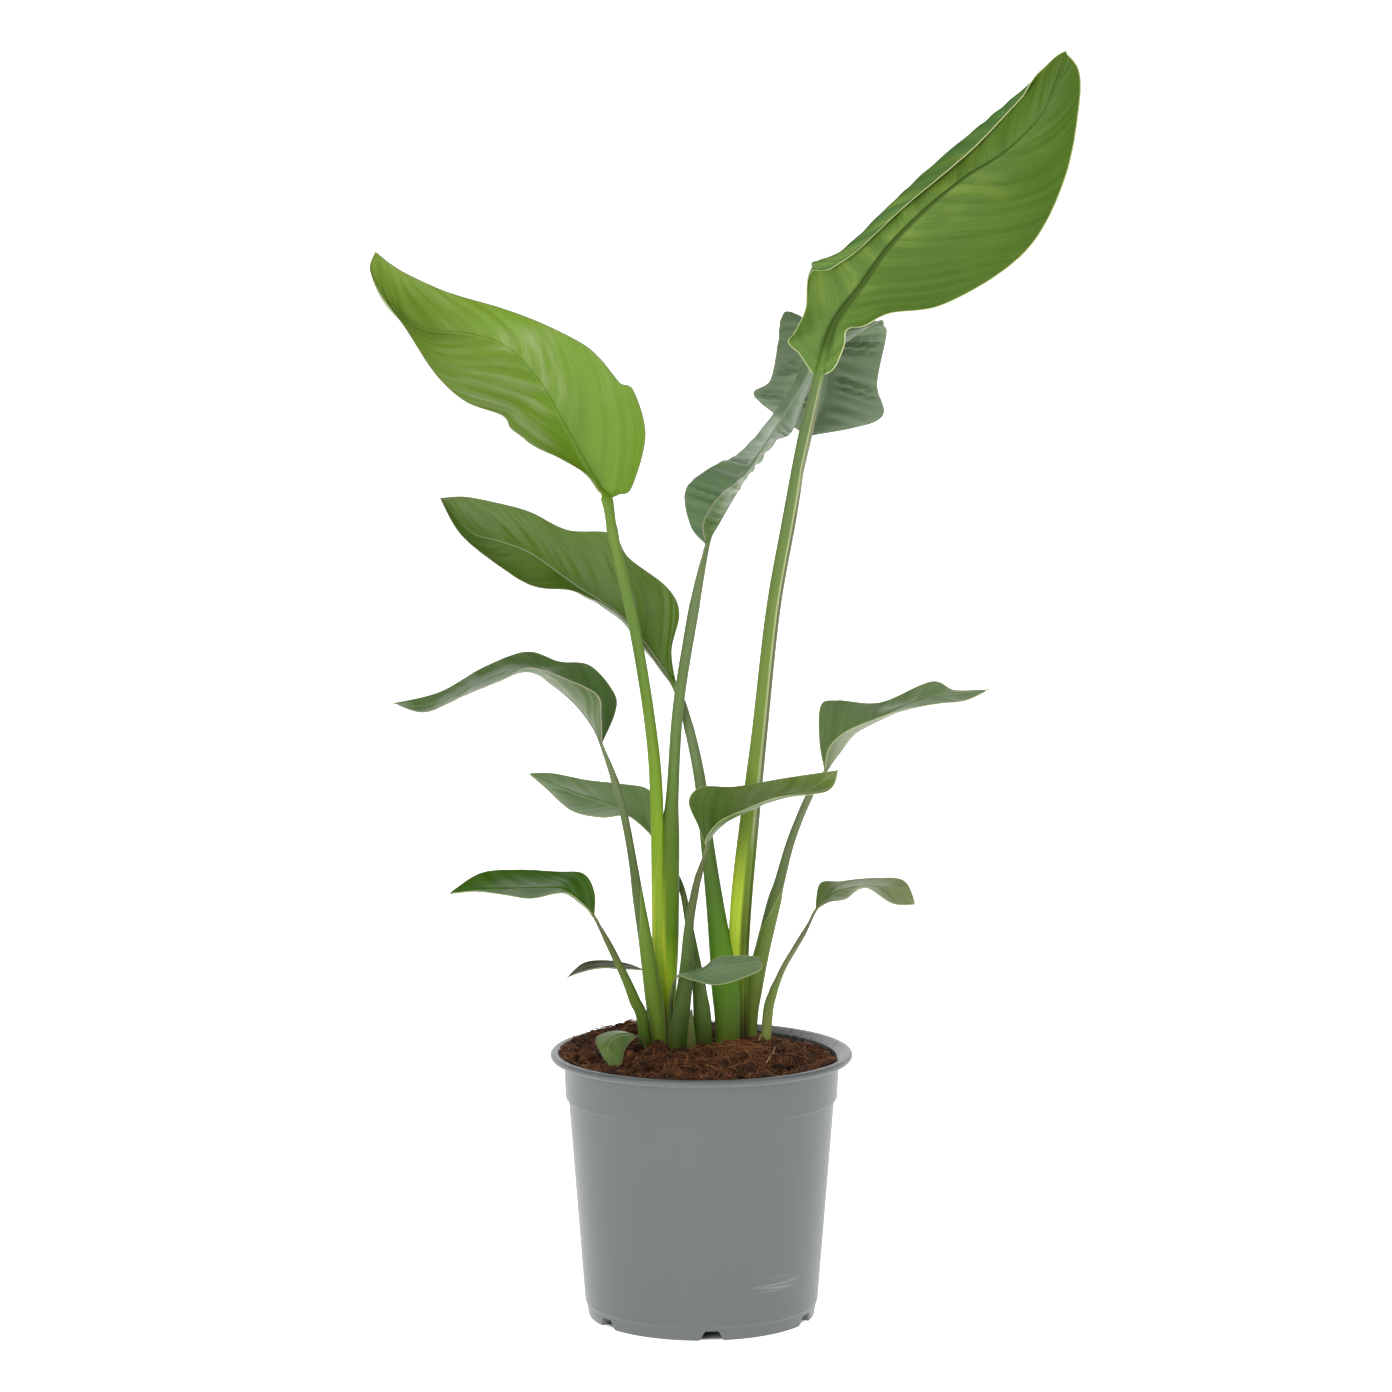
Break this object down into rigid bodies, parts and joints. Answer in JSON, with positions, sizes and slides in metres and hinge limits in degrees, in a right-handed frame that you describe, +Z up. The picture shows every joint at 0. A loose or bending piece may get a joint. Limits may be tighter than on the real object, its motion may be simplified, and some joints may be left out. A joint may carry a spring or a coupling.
{
  "type": "potted bird of paradise",
  "caption": "Young bird of paradise plant with tall arching paddle leaves on sheathed stalks, in a tapered round nursery pot of coir and peat.",
  "frame": {"origin": "centre of the pot's underside, on the plane the pot stands on", "axes": "+Z up the pot and plant, -Y towards the front of the picture, +X to its right"},
  "size_m": [0.4326, 0.2283, 0.7888],
  "materials": {
    "pot": "satin",
    "soil": "matte",
    "leaf_bright": "satin",
    "leaf_lime": "satin",
    "leaf_blue_green": "satin",
    "leaf_olive": "satin",
    "leaf_mid": "satin"
  },
  "bodies": {
    "root": {"pot": "pot", "soil": "soil", "leaf_tall_front": "leaf_bright", "leaf_tall_left": "leaf_lime", "leaf_arched_back": "leaf_blue_green", "leaf_olive_left": "leaf_olive", "leaf_left_upper": "leaf_mid", "leaf_right_upper": "leaf_mid", "leaf_right_lower": "leaf_mid", "leaf_left_behind": "leaf_mid", "leaf_centre_front": "leaf_mid", "leaf_left_lower": "leaf_mid", "leaf_small_left": "leaf_mid", "leaf_small_front": "leaf_mid", "leaf_folded_front": "leaf_mid", "young_shoot": "leaf_lime"}
  },
  "joints": []
}
